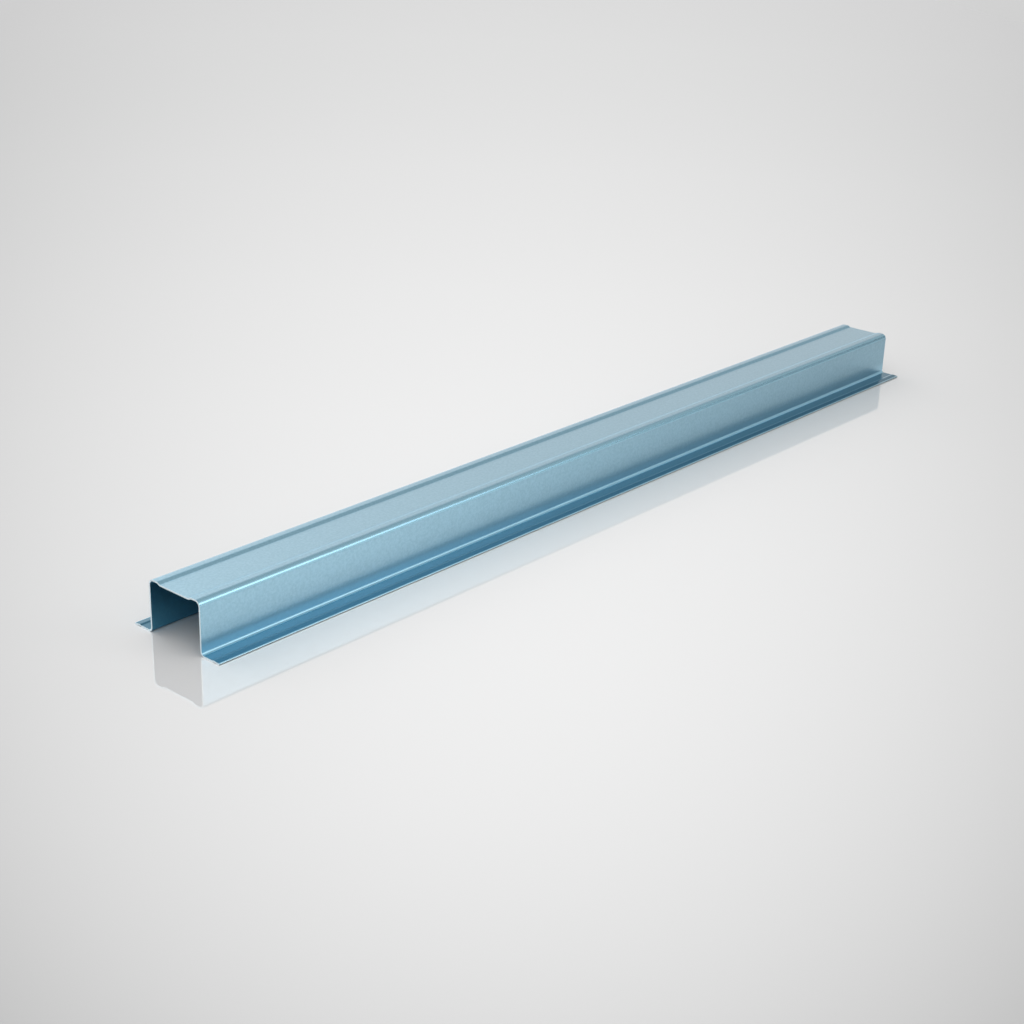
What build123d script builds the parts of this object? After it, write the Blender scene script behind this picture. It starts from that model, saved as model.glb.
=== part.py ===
from build123d import *
import os

# Ceiling batten: a hat section, cold rolled in one piece from coated steel strip.
# X runs along the batten, Y across its section and Z up.
# The origin is on the floor, under the middle of the batten.

# Overall sizes, over the metal
length = 520.0
height = 24.0
width_over_webs = 31.5
foot_width = 10.5
sheet = 0.75

# Bend radii, on the hollow side of each bend
top_bend = 2.0
foot_bend = 1.25
swage_bend = 1.5

# Board face: a shallow pan rolled down between two shoulders
shoulder_width = 5.4
pan_depth = 0.75
pan_step_run = 1.6

# Low ridge rolled along each foot, which stiffens its free edge
ridge_from_edge = 3.2
ridge_height = 0.25
ridge_inner_run = 1.0
ridge_outer_run = 2.4

# Places across half of the section
web_face = width_over_webs / 2
free_edge = web_face + foot_width
shoulder_edge = web_face - shoulder_width
pan_edge = shoulder_edge - pan_step_run
ridge_top = free_edge - ridge_from_edge

# Corners of the upper side of the sheet, from the board face out to a free edge.
# Each has its place across, its height above the floor and its bend radius there.
half_corners = [
    (pan_edge, height - pan_depth, swage_bend),
    (shoulder_edge, height, swage_bend + sheet),
    (web_face, height, top_bend + sheet),
    (web_face, sheet, foot_bend),
    (ridge_top - ridge_inner_run, sheet, swage_bend),
    (ridge_top, sheet + ridge_height, swage_bend + sheet),
    (ridge_top + ridge_outer_run, sheet, swage_bend),
]
corners = [(-y, z, bend) for y, z, bend in reversed(half_corners)] + half_corners

with BuildPart() as ceiling_batten:
    with BuildSketch(Plane.YZ.offset(-length / 2)) as section:
        with BuildLine():
            FilletPolyline(
                (-free_edge, sheet),
                *[(y, z) for y, z, bend in corners],
                (free_edge, sheet),
                radius=[bend for y, z, bend in corners],
            )
            offset(amount=sheet, side=Side.RIGHT, closed=True)
        make_face()
    extrude(amount=length)

os.makedirs("parts", exist_ok=True)
ceiling_batten.part.label = "ceiling_batten"
export_step(ceiling_batten.part, "parts/ceiling_batten.step")
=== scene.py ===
import math

import bpy
from mathutils import Matrix, Vector


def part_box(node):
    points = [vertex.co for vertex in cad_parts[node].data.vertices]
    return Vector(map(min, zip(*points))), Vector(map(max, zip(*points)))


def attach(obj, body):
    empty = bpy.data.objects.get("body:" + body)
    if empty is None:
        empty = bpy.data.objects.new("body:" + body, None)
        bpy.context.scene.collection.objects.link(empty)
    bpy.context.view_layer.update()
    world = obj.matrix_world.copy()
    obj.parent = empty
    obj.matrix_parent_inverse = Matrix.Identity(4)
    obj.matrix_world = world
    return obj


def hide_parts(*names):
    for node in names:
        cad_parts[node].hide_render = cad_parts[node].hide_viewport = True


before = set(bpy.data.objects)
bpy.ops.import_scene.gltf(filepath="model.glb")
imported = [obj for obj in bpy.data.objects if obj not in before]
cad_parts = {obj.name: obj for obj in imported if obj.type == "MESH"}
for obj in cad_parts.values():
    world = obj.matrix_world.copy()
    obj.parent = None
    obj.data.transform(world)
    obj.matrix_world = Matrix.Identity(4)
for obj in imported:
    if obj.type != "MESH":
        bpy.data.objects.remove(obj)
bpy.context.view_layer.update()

# The batten: one strip of zinc-coated steel sheet with a thin tinted metallic lacquer on both faces,
# cold rolled to a hat section and sheared square to length. It is all one sheet: a board face with a
# shallow pan between two shoulders, two webs, and two feet that each carry a low ridge.

mm = 0.001
batten_low, batten_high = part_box("ceiling_batten")
half_length = batten_high.x
free_edge = batten_high.y
height = batten_high.z
sheet = 0.75 * mm
foot_width = 10.5 * mm
shoulder_width = 5.4 * mm
pan_step_run = 1.6 * mm
pan_depth = 0.75 * mm
ridge_from_edge = 3.2 * mm
ridge_height = 0.25 * mm
ridge_inner_run = 1.0 * mm
ridge_outer_run = 2.4 * mm
top_bend = 2.0 * mm
foot_bend = 1.25 * mm
swage_bend = 1.5 * mm

web_face = free_edge - foot_width
shoulder_edge = web_face - shoulder_width
pan_edge = shoulder_edge - pan_step_run
ridge_top = free_edge - ridge_from_edge
ridge_inner_foot = ridge_top - ridge_inner_run
ridge_outer_foot = ridge_top + ridge_outer_run

# These are finer than in the part's own section: the facets of the bends, and the rounded edges.
facet_turn = math.radians(6)
fewest_facets = 2
station_gap = 10 * mm
sheared_round = 0.08 * mm
slit_roll_over = 0.38 * mm
slit_upper_round = 0.12 * mm
roll_over_steps = 4

# Each corner of the sheet's upper side, from the board face out to a free edge:
# its place across, its height and its bend radius there, as in the part's own section.
half_corners = [
    (pan_edge, height - pan_depth, swage_bend),
    (shoulder_edge, height, swage_bend + sheet),
    (web_face, height, top_bend + sheet),
    (web_face, sheet, foot_bend),
    (ridge_inner_foot, sheet, swage_bend),
    (ridge_top, sheet + ridge_height, swage_bend + sheet),
    (ridge_outer_foot, sheet, swage_bend),
    (free_edge, sheet, 0.0),
]
corners = [(-across, up, bend) for across, up, bend in reversed(half_corners)] + half_corners


def facing(heading):
    """The way the sheet's upper side faces where the strip runs at this heading."""
    return Vector((-math.sin(heading), math.cos(heading)))


def bent_corner(before, corner, after):
    """The arc of one bend, as points of the upper side, each with the heading of the strip there."""
    place = Vector(corner[:2])
    into = place - Vector(before[:2])
    out = Vector(after[:2]) - place
    first_heading = math.atan2(into.y, into.x)
    turn = math.atan2(into.cross(out), into.dot(out))
    radius = math.copysign(corner[2], turn)
    start = place - into.normalized() * radius * math.tan(turn / 2)
    centre = start + facing(first_heading) * radius
    steps = max(fewest_facets, math.ceil(abs(turn) / facet_turn))
    headings = [first_heading + turn * step / steps for step in range(steps + 1)]
    return [(centre - facing(heading) * radius, heading) for heading in headings]


upper_side = []
for before, corner, after in zip(corners, corners[1:], corners[2:]):
    upper_side += bent_corner(before, corner, after)
skins = [(point, point - facing(heading) * sheet) for point, heading in upper_side]

# The slitting knives leave each free edge a little rounded above and rolled over below.
rolled_edge = []
for step in range(roll_over_steps + 1):
    slope = math.pi / 2 * step / roll_over_steps
    across = free_edge - slit_roll_over * (1 - math.sin(slope))
    top = sheet - slit_upper_round * (1 - math.cos(slope))
    under = slit_roll_over * (1 - math.cos(slope))
    rolled_edge.append((Vector((across, top)), Vector((across, under))))
opposite_edge = []
for top, under in reversed(rolled_edge):
    opposite_edge.append((Vector((-top.x, top.y)), Vector((-under.x, under.y))))
skins = opposite_edge + skins + rolled_edge
outline = [top for top, under in skins] + [under for top, under in reversed(skins)]

station_count = round(2 * half_length / station_gap)
station_step = 2 * half_length / station_count
stations = [-half_length + station_step * number for number in range(station_count + 1)]
points_round = len(outline)
last_on_top = len(skins) - 1

vertices = [(along, point.x, point.y) for along in stations for point in outline]
faces = []
for station in range(station_count):
    for spot in range(points_round):
        here = station * points_round + spot
        beside = station * points_round + (spot + 1) % points_round
        faces.append((here, here + points_round, beside + points_round, beside))
side_face_count = len(faces)
for spot in range(last_on_top):
    under = points_round - 1 - spot
    near_cut = (spot, spot + 1, under - 1, under)
    faces.append(near_cut)
    faces.append(tuple(station_count * points_round + vertex for vertex in reversed(near_cut)))

tinted_side, backing_side, cut_side = range(3)
sides = []
for station in range(station_count):
    for spot in range(points_round):
        slit_edge = spot in (last_on_top, points_round - 1)
        sides.append(tinted_side if spot < last_on_top or slit_edge else backing_side)
sides += [cut_side] * (len(faces) - side_face_count)

batten_mesh = bpy.data.meshes.new("rolled_section")
batten_mesh.from_pydata(vertices, [], faces)
batten_mesh.polygons.foreach_set("use_smooth", [True] * len(faces))
batten_mesh.polygons.foreach_set("material_index", sides)
batten_mesh.update()
batten = bpy.data.objects.new("rolled_section", batten_mesh)
bpy.context.scene.collection.objects.link(batten)

shear_rounding = batten.modifiers.new("shear rounding", "BEVEL")
shear_rounding.width = sheared_round
shear_rounding.segments = 2
shear_rounding.limit_method = "ANGLE"
shear_rounding.angle_limit = math.radians(60)
flat_shading = batten.modifiers.new("flat shading of the flats", "WEIGHTED_NORMAL")
flat_shading.weight = 100


class Signal:
    """One output of a shader node. Sums on it add Math nodes, and node() adds any other node."""

    def __init__(self, tree, socket=None):
        self.tree = tree
        self.socket = socket

    def node(self, kind, settings, sockets, output=0):
        added = self.tree.nodes.new("ShaderNode" + kind)
        for name, value in settings.items():
            setattr(added, name, value)
        for name, value in sockets.items():
            if isinstance(value, Signal):
                self.tree.links.new(value.socket, added.inputs[name])
            else:
                added.inputs[name].default_value = value
        return Signal(self.tree, added.outputs[output] if added.outputs else None)

    def math(self, operation, *values):
        return self.node("Math", {"operation": operation}, dict(enumerate(values)))

    def __add__(self, other):
        return self.math("ADD", self, other)

    def __sub__(self, other):
        return self.math("SUBTRACT", self, other)

    def __rsub__(self, other):
        return self.math("SUBTRACT", other, self)

    def __mul__(self, other):
        return self.math("MULTIPLY", self, other)

    def __rtruediv__(self, other):
        return self.math("DIVIDE", other, self)

    __radd__ = __add__
    __rmul__ = __mul__


def new_material(name):
    """A material with an empty node tree."""
    material = bpy.data.materials.new(name)
    material.use_nodes = True
    material.node_tree.nodes.clear()
    return material, Signal(material.node_tree)


def ramp(value, start, end):
    """0 before start and 1 past end, with a soft change between."""
    reach = {"Value": value, "From Min": start, "From Max": end, "To Min": 0, "To Max": 1}
    return value.node("MapRange", {"interpolation_type": "SMOOTHSTEP"}, reach)


def blend(share, under, over):
    """One colour turned to another by this share, in the colour sockets of a Mix node."""
    factor, first_colour, second_colour, mixed_colour = 0, 6, 7, 2
    sockets = {factor: share, first_colour: under, second_colour: over}
    return share.node("Mix", {"data_type": "RGBA"}, sockets, mixed_colour)


def grain(place, scale, detail, roughness):
    """A cloudy grain from 0 to 1, with this many clouds to the metre."""
    sockets = {"Vector": place, "Scale": scale, "Detail": detail, "Roughness": roughness}
    return place.node("TexNoise", {}, sockets)


def relief(heights, depth):
    """The way a surface faces where its relief has these heights, from 0 to 1, over this depth."""
    return heights.node("Bump", {}, {"Height": heights, "Distance": depth, "Strength": 1.0})


# The lacquer holds fine metal flakes and faint marks of the draw along the strip. The rolls leave the
# bends smoother, and the knives do the same to the slit edges; both also get a paler tint, a painted
# highlight. The feet and the crease at the foot of each ridge get a deeper tint, painted shade, and the
# lowest part of each web a paler one, painted light.
lacquer, tinted = new_material("tinted lacquer on zinc-coated steel")
pale_tint = (0.36, 0.615, 0.755, 1)
deep_tint = (0.29, 0.525, 0.655, 1)
foot_painted_shade_tint = (0.085, 0.23, 0.325, 1)
crease_painted_shade_tint = (0.045, 0.19, 0.29, 1)
slit_painted_highlight_tint = (0.60, 0.84, 0.95, 1)
painted_highlight_tint = (0.36, 0.68, 0.85, 1)
low_web_painted_light_tint = (0.44, 0.76, 0.93, 1)
flake_scale = 850
draw_scale = (8, 700, 700)
flake_share = 0.8
flake_height = 0.035 * mm
marks_height_share = 0.3

# This is where each zone starts, is full or ends, measured from the corner of the section beside it.
top_bend_start = 2.6 * mm
top_bend_full = 1.8 * mm
foot_bend_full_across = 0.8 * mm
foot_bend_end_across = 1.3 * mm
foot_bend_full_up = 0.9 * mm
foot_bend_end_up = 1.5 * mm
slit_start = 0.55 * mm
slit_full = 0.3 * mm
low_web_full = 3 * mm
low_web_end = 8 * mm
foot_start = 0.7 * mm
foot_full = 1.6 * mm
crease_fade = 0.3 * mm
crease_full = 0.7 * mm
crease_end = 1.4 * mm
pan_step_fade = 1.0 * mm

# This is how much of each zone's tint is laid on, painted light and shade among them, and how smooth it
# is.
low_web_light_share = 0.7
crease_shade_share = 0.9
painted_highlight_share = 0.7
foot_bend_share = 0.6
web_roughness = 0.37
bend_polish = 0.1
foot_polish = 0.2
foot_flatness = 0.5
coat_off_feet = 0.85
coat_off_pan_steps = 0.8

place = tinted.node("TexCoord", {}, {}, "Object")
from_middle = tinted.math("ABSOLUTE", tinted.node("SeparateXYZ", {}, {"Vector": place}, "Y"))
above_floor = tinted.node("SeparateXYZ", {}, {"Vector": place}, "Z")
flake = grain(place, scale=flake_scale, detail=3, roughness=0.65)
drawn = tinted.node("Mapping", {}, {"Vector": place, "Scale": draw_scale})
marks = grain(drawn, scale=1, detail=4, roughness=0.6)
lacquer_depth = ramp(flake, start=0.3, end=0.7) * flake_share + marks * (1 - flake_share)

bend_from_side = ramp(from_middle, web_face - top_bend_start, web_face - top_bend_full)
bend_from_top = ramp(above_floor, height - top_bend_start, height - top_bend_full)
near_top_bend = bend_from_side * bend_from_top
past_foot_bend = ramp(from_middle, web_face + foot_bend_full_across, web_face + foot_bend_end_across)
over_foot_bend = ramp(above_floor, sheet + foot_bend_full_up, sheet + foot_bend_end_up)
near_foot_bend = (1 - past_foot_bend) * (1 - over_foot_bend)
near_slit_edge = ramp(from_middle, free_edge - slit_start, free_edge - slit_full)
burnish_and_painted_highlight = near_top_bend + near_foot_bend * foot_bend_share
smoothed = near_top_bend + near_foot_bend + near_slit_edge
low_on_web = 1 - ramp(above_floor, low_web_full, low_web_end)
on_foot = ramp(from_middle, web_face + foot_start, web_face + foot_full)
into_crease = ramp(from_middle, ridge_inner_foot - crease_fade, ridge_inner_foot + crease_fade)
out_of_crease = ramp(from_middle, ridge_inner_foot + crease_full, ridge_inner_foot + crease_end)
in_crease = into_crease * (1 - out_of_crease)
into_pan_step = ramp(from_middle, pan_edge - pan_step_fade, pan_edge)
out_of_pan_step = ramp(from_middle, shoulder_edge, shoulder_edge + pan_step_fade)
in_pan_step = into_pan_step * (1 - out_of_pan_step)

tint = blend(lacquer_depth, pale_tint, deep_tint)
# Paler towards the bottom of each web: painted light.
tint = blend(low_on_web * low_web_light_share, tint, low_web_painted_light_tint)
# Much deeper on the feet: painted shade.
tint = blend(on_foot, tint, foot_painted_shade_tint)
# Deeper still in the crease at the inner foot of each ridge: a painted shade line.
tint = blend(in_crease * crease_shade_share, tint, crease_painted_shade_tint)
# Paler along the bends: a painted highlight; their lower roughness is the rolls' polish.
tint = blend(burnish_and_painted_highlight * painted_highlight_share, tint, painted_highlight_tint)
# Paler along the slit edges: a painted highlight.
tint = blend(near_slit_edge, tint, slit_painted_highlight_tint)
unpolished = tinted.math("MAXIMUM", 1 - smoothed - on_foot * foot_flatness, 0.0)
grit = (flake + marks * marks_height_share) * unpolished
uncoated_foot = tinted.math("MAXIMUM", on_foot, near_foot_bend) * coat_off_feet
skin = tinted.node(
    "BsdfPrincipled",
    {},
    {
        "Base Color": tint,
        "Metallic": 1.0,
        "Roughness": web_roughness - burnish_and_painted_highlight * bend_polish - on_foot * foot_polish,
        "Coat Weight": 1 - uncoated_foot - in_pan_step * coat_off_pan_steps,
        "Coat Roughness": 0.15,
        "Coat IOR": 1.5,
        "Normal": relief(grit, flake_height),
    },
)
tinted.node("OutputMaterial", {}, {"Surface": skin})
batten_mesh.materials.append(lacquer)

# The inside and the underside get a deeper tint than the outside, painted shade of the channel, nearly
# black under the rolled lips.
backing_lacquer, backing = new_material("backing lacquer inside the section")
backing_shaded_pale = (0.13, 0.42, 0.60, 1)
backing_shaded_deep = (0.09, 0.33, 0.49, 1)
lip_painted_shadow_tint = (0.015, 0.05, 0.07, 1)
lip_start = 1.2 * mm
lip_full = 0.5 * mm
backing_flake_height = 0.01 * mm
backing_roughness = 0.28
backing_roughness_range = 0.1
back_place = backing.node("TexCoord", {}, {}, "Object")
back_flake = grain(back_place, scale=flake_scale, detail=3, roughness=0.65)
back_from_middle = backing.math("ABSOLUTE", backing.node("SeparateXYZ", {}, {"Vector": back_place}, "Y"))
under_lip = ramp(back_from_middle, free_edge - lip_start, free_edge - lip_full)
# The deeper inside tint is painted shade; the flakes vary it at random.
back_tint = blend(back_flake, backing_shaded_pale, backing_shaded_deep)
# Nearly black under each rolled lip: a painted shadow of the gap there.
back_tint = blend(under_lip, back_tint, lip_painted_shadow_tint)
back_skin = backing.node(
    "BsdfPrincipled",
    {},
    {
        "Base Color": back_tint,
        "Metallic": 1.0,
        "Roughness": backing_roughness + back_flake * backing_roughness_range,
        "Normal": relief(back_flake, backing_flake_height),
    },
)
backing.node("OutputMaterial", {}, {"Surface": back_skin})
batten_mesh.materials.append(backing_lacquer)

# The two sheared ends show the bare steel and its zinc, a little torn by the blade.
sheared_steel, bare = new_material("bare sheared steel")
steel_grey = (0.76, 0.87, 0.92, 1)
tear_scale = 2500
tear_height = 0.01 * mm
sheared_roughness = 0.42
sheared_roughness_range = 0.2
cut_place = bare.node("TexCoord", {}, {}, "Object")
tear = grain(cut_place, scale=tear_scale, detail=3, roughness=0.6)
cut_face = bare.node(
    "BsdfPrincipled",
    {},
    {
        "Base Color": steel_grey,
        "Metallic": 1.0,
        "Roughness": sheared_roughness + tear * sheared_roughness_range,
        "Normal": relief(tear, tear_height),
    },
)
bare.node("OutputMaterial", {}, {"Surface": cut_face})
batten_mesh.materials.append(sheared_steel)

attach(batten, "root")
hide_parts("ceiling_batten")

# The floor: one wide, pale board with a face polished like a mirror. A pool of soft light is painted
# into its colour:
# a cone with its axis on the batten, brightest there and fading outwards.

floor_radius = 12.0
floor_sides = 96
floor_mesh = bpy.data.meshes.new("floor")
floor_turns = [2 * math.pi * side / floor_sides for side in range(floor_sides)]
floor_mesh.from_pydata(
    [(floor_radius * math.cos(turn), floor_radius * math.sin(turn), 0) for turn in floor_turns],
    [],
    [tuple(range(floor_sides))],
)
floor = bpy.data.objects.new("floor", floor_mesh)
bpy.context.scene.collection.objects.link(floor)
floor.location.z = batten_low.z

gloss_board, board = new_material("pale gloss board")
pool_source = Vector((-0.657, -0.514, 0.324))
pool_axis = Vector((0.694, 0.597, -0.405)).normalized()
pool_bright = 0.91
pool_fall = 2.8
pool_least = 0.43
floor_place = board.node("NewGeometry", {}, {}, "Position")
beam = board.node("VectorMath", {"operation": "SUBTRACT"}, {0: floor_place, 1: pool_source})
beam = board.node("VectorMath", {"operation": "NORMALIZE"}, {0: beam})
cosine = board.node("VectorMath", {"operation": "DOT_PRODUCT"}, {0: beam, 1: pool_axis}, "Value")
spread = 1 / (cosine * cosine) - 1
# The painted pool of light: brightest on the cone's axis, fading outwards to the least tone.
tone = board.math("MAXIMUM", pool_bright - spread * pool_fall, pool_least)
painted_pool_colour = board.node("CombineColor", {}, {0: tone, 1: tone, 2: tone})
board_face = board.node(
    "BsdfPrincipled", {}, {"Base Color": painted_pool_colour, "Roughness": 0.0, "IOR": 2.5}
)
board.node("OutputMaterial", {}, {"Surface": board_face})
floor_mesh.materials.append(gloss_board)

# The studio: an evenly lit pale room. Soft boxes add light from a few sides and dark flags take some
# away, which gives the bends their bright and dark lines. Seen straight, or once in the floor's polish,
# the room is only a plain backdrop.

world = bpy.data.worlds.new("soft studio")
bpy.context.scene.world = world
world.use_nodes = True
world.node_tree.nodes.clear()
studio = Signal(world.node_tree)
room_light = 1.0
backdrop_light = 0.8
deepest_polish_ray = 2.5

# Each has its bearing from +Y towards +X, its rise above the floor and its reach, all in degrees,
# and the light that it adds. It is at its full light within this share of its reach.
full_within = 0.35
soft_boxes_and_flags = {
    "broad soft box behind the far web": (0, 35, 30, 1.4),
    "small soft box in front, right of the camera": (142, 27, 13, 1.7),
    "broad flag over the far end": (83, 42, 46, -0.5),
    "low flag beside the far end": (120, 14, 20, -0.65),
    "flag in front of the near web": (165, 22, 28, -0.55),
}
direction = studio.node("TexCoord", {}, {}, "Generated")
light = room_light
for bearing, rise, reach, added_light in soft_boxes_and_flags.values():
    turned = math.radians(bearing)
    raised = math.radians(rise)
    aim = (
        math.sin(turned) * math.cos(raised),
        math.cos(turned) * math.cos(raised),
        math.sin(raised),
    )
    nearness = studio.node("VectorMath", {"operation": "DOT_PRODUCT"}, {0: direction, 1: aim}, "Value")
    inner_edge = math.cos(math.radians(reach * full_within))
    outer_edge = math.cos(math.radians(reach))
    light = light + ramp(nearness, outer_edge, inner_edge) * added_light
light = studio.math("MAXIMUM", light, 0.0)

seen = studio.node("LightPath", {}, {}, "Is Camera Ray")
mirrored = studio.node("LightPath", {}, {}, "Is Singular Ray")
ray_depth = studio.node("LightPath", {}, {}, "Ray Depth")
seen_in_polish = mirrored * studio.math("LESS_THAN", ray_depth, deepest_polish_ray)
plain = studio.math("MAXIMUM", seen, seen_in_polish)
strength = plain * backdrop_light + (1 - plain) * light
sky = studio.node("Background", {}, {"Color": (1, 1, 1, 1), "Strength": strength})
studio.node("OutputWorld", {}, {"Surface": sky})

# The camera: where the photograph was taken from, looking down along the batten from its near end.
# It leans over by a slight roll, as the photograph does.

camera_data = bpy.data.cameras.new("camera")
camera_data.sensor_width = 36
camera_data.lens = 62.82
camera_data.clip_start = 0.01
camera_data.clip_end = 40
camera = bpy.data.objects.new("camera", camera_data)
bpy.context.scene.collection.objects.link(camera)
camera_place = Vector((-0.6574, -0.5140, 0.3240))
camera_turn = math.radians(49.43)
camera_tilt = math.radians(22.42)
camera_roll = math.radians(1.81)
camera.matrix_world = (
    Matrix.Translation(camera_place)
    @ Matrix.Rotation(-camera_turn, 4, "Z")
    @ Matrix.Rotation(math.pi / 2 - camera_tilt, 4, "X")
    @ Matrix.Rotation(camera_roll, 4, "Z")
)
bpy.context.scene.camera = camera
bpy.context.scene.view_settings.view_transform = "Standard"
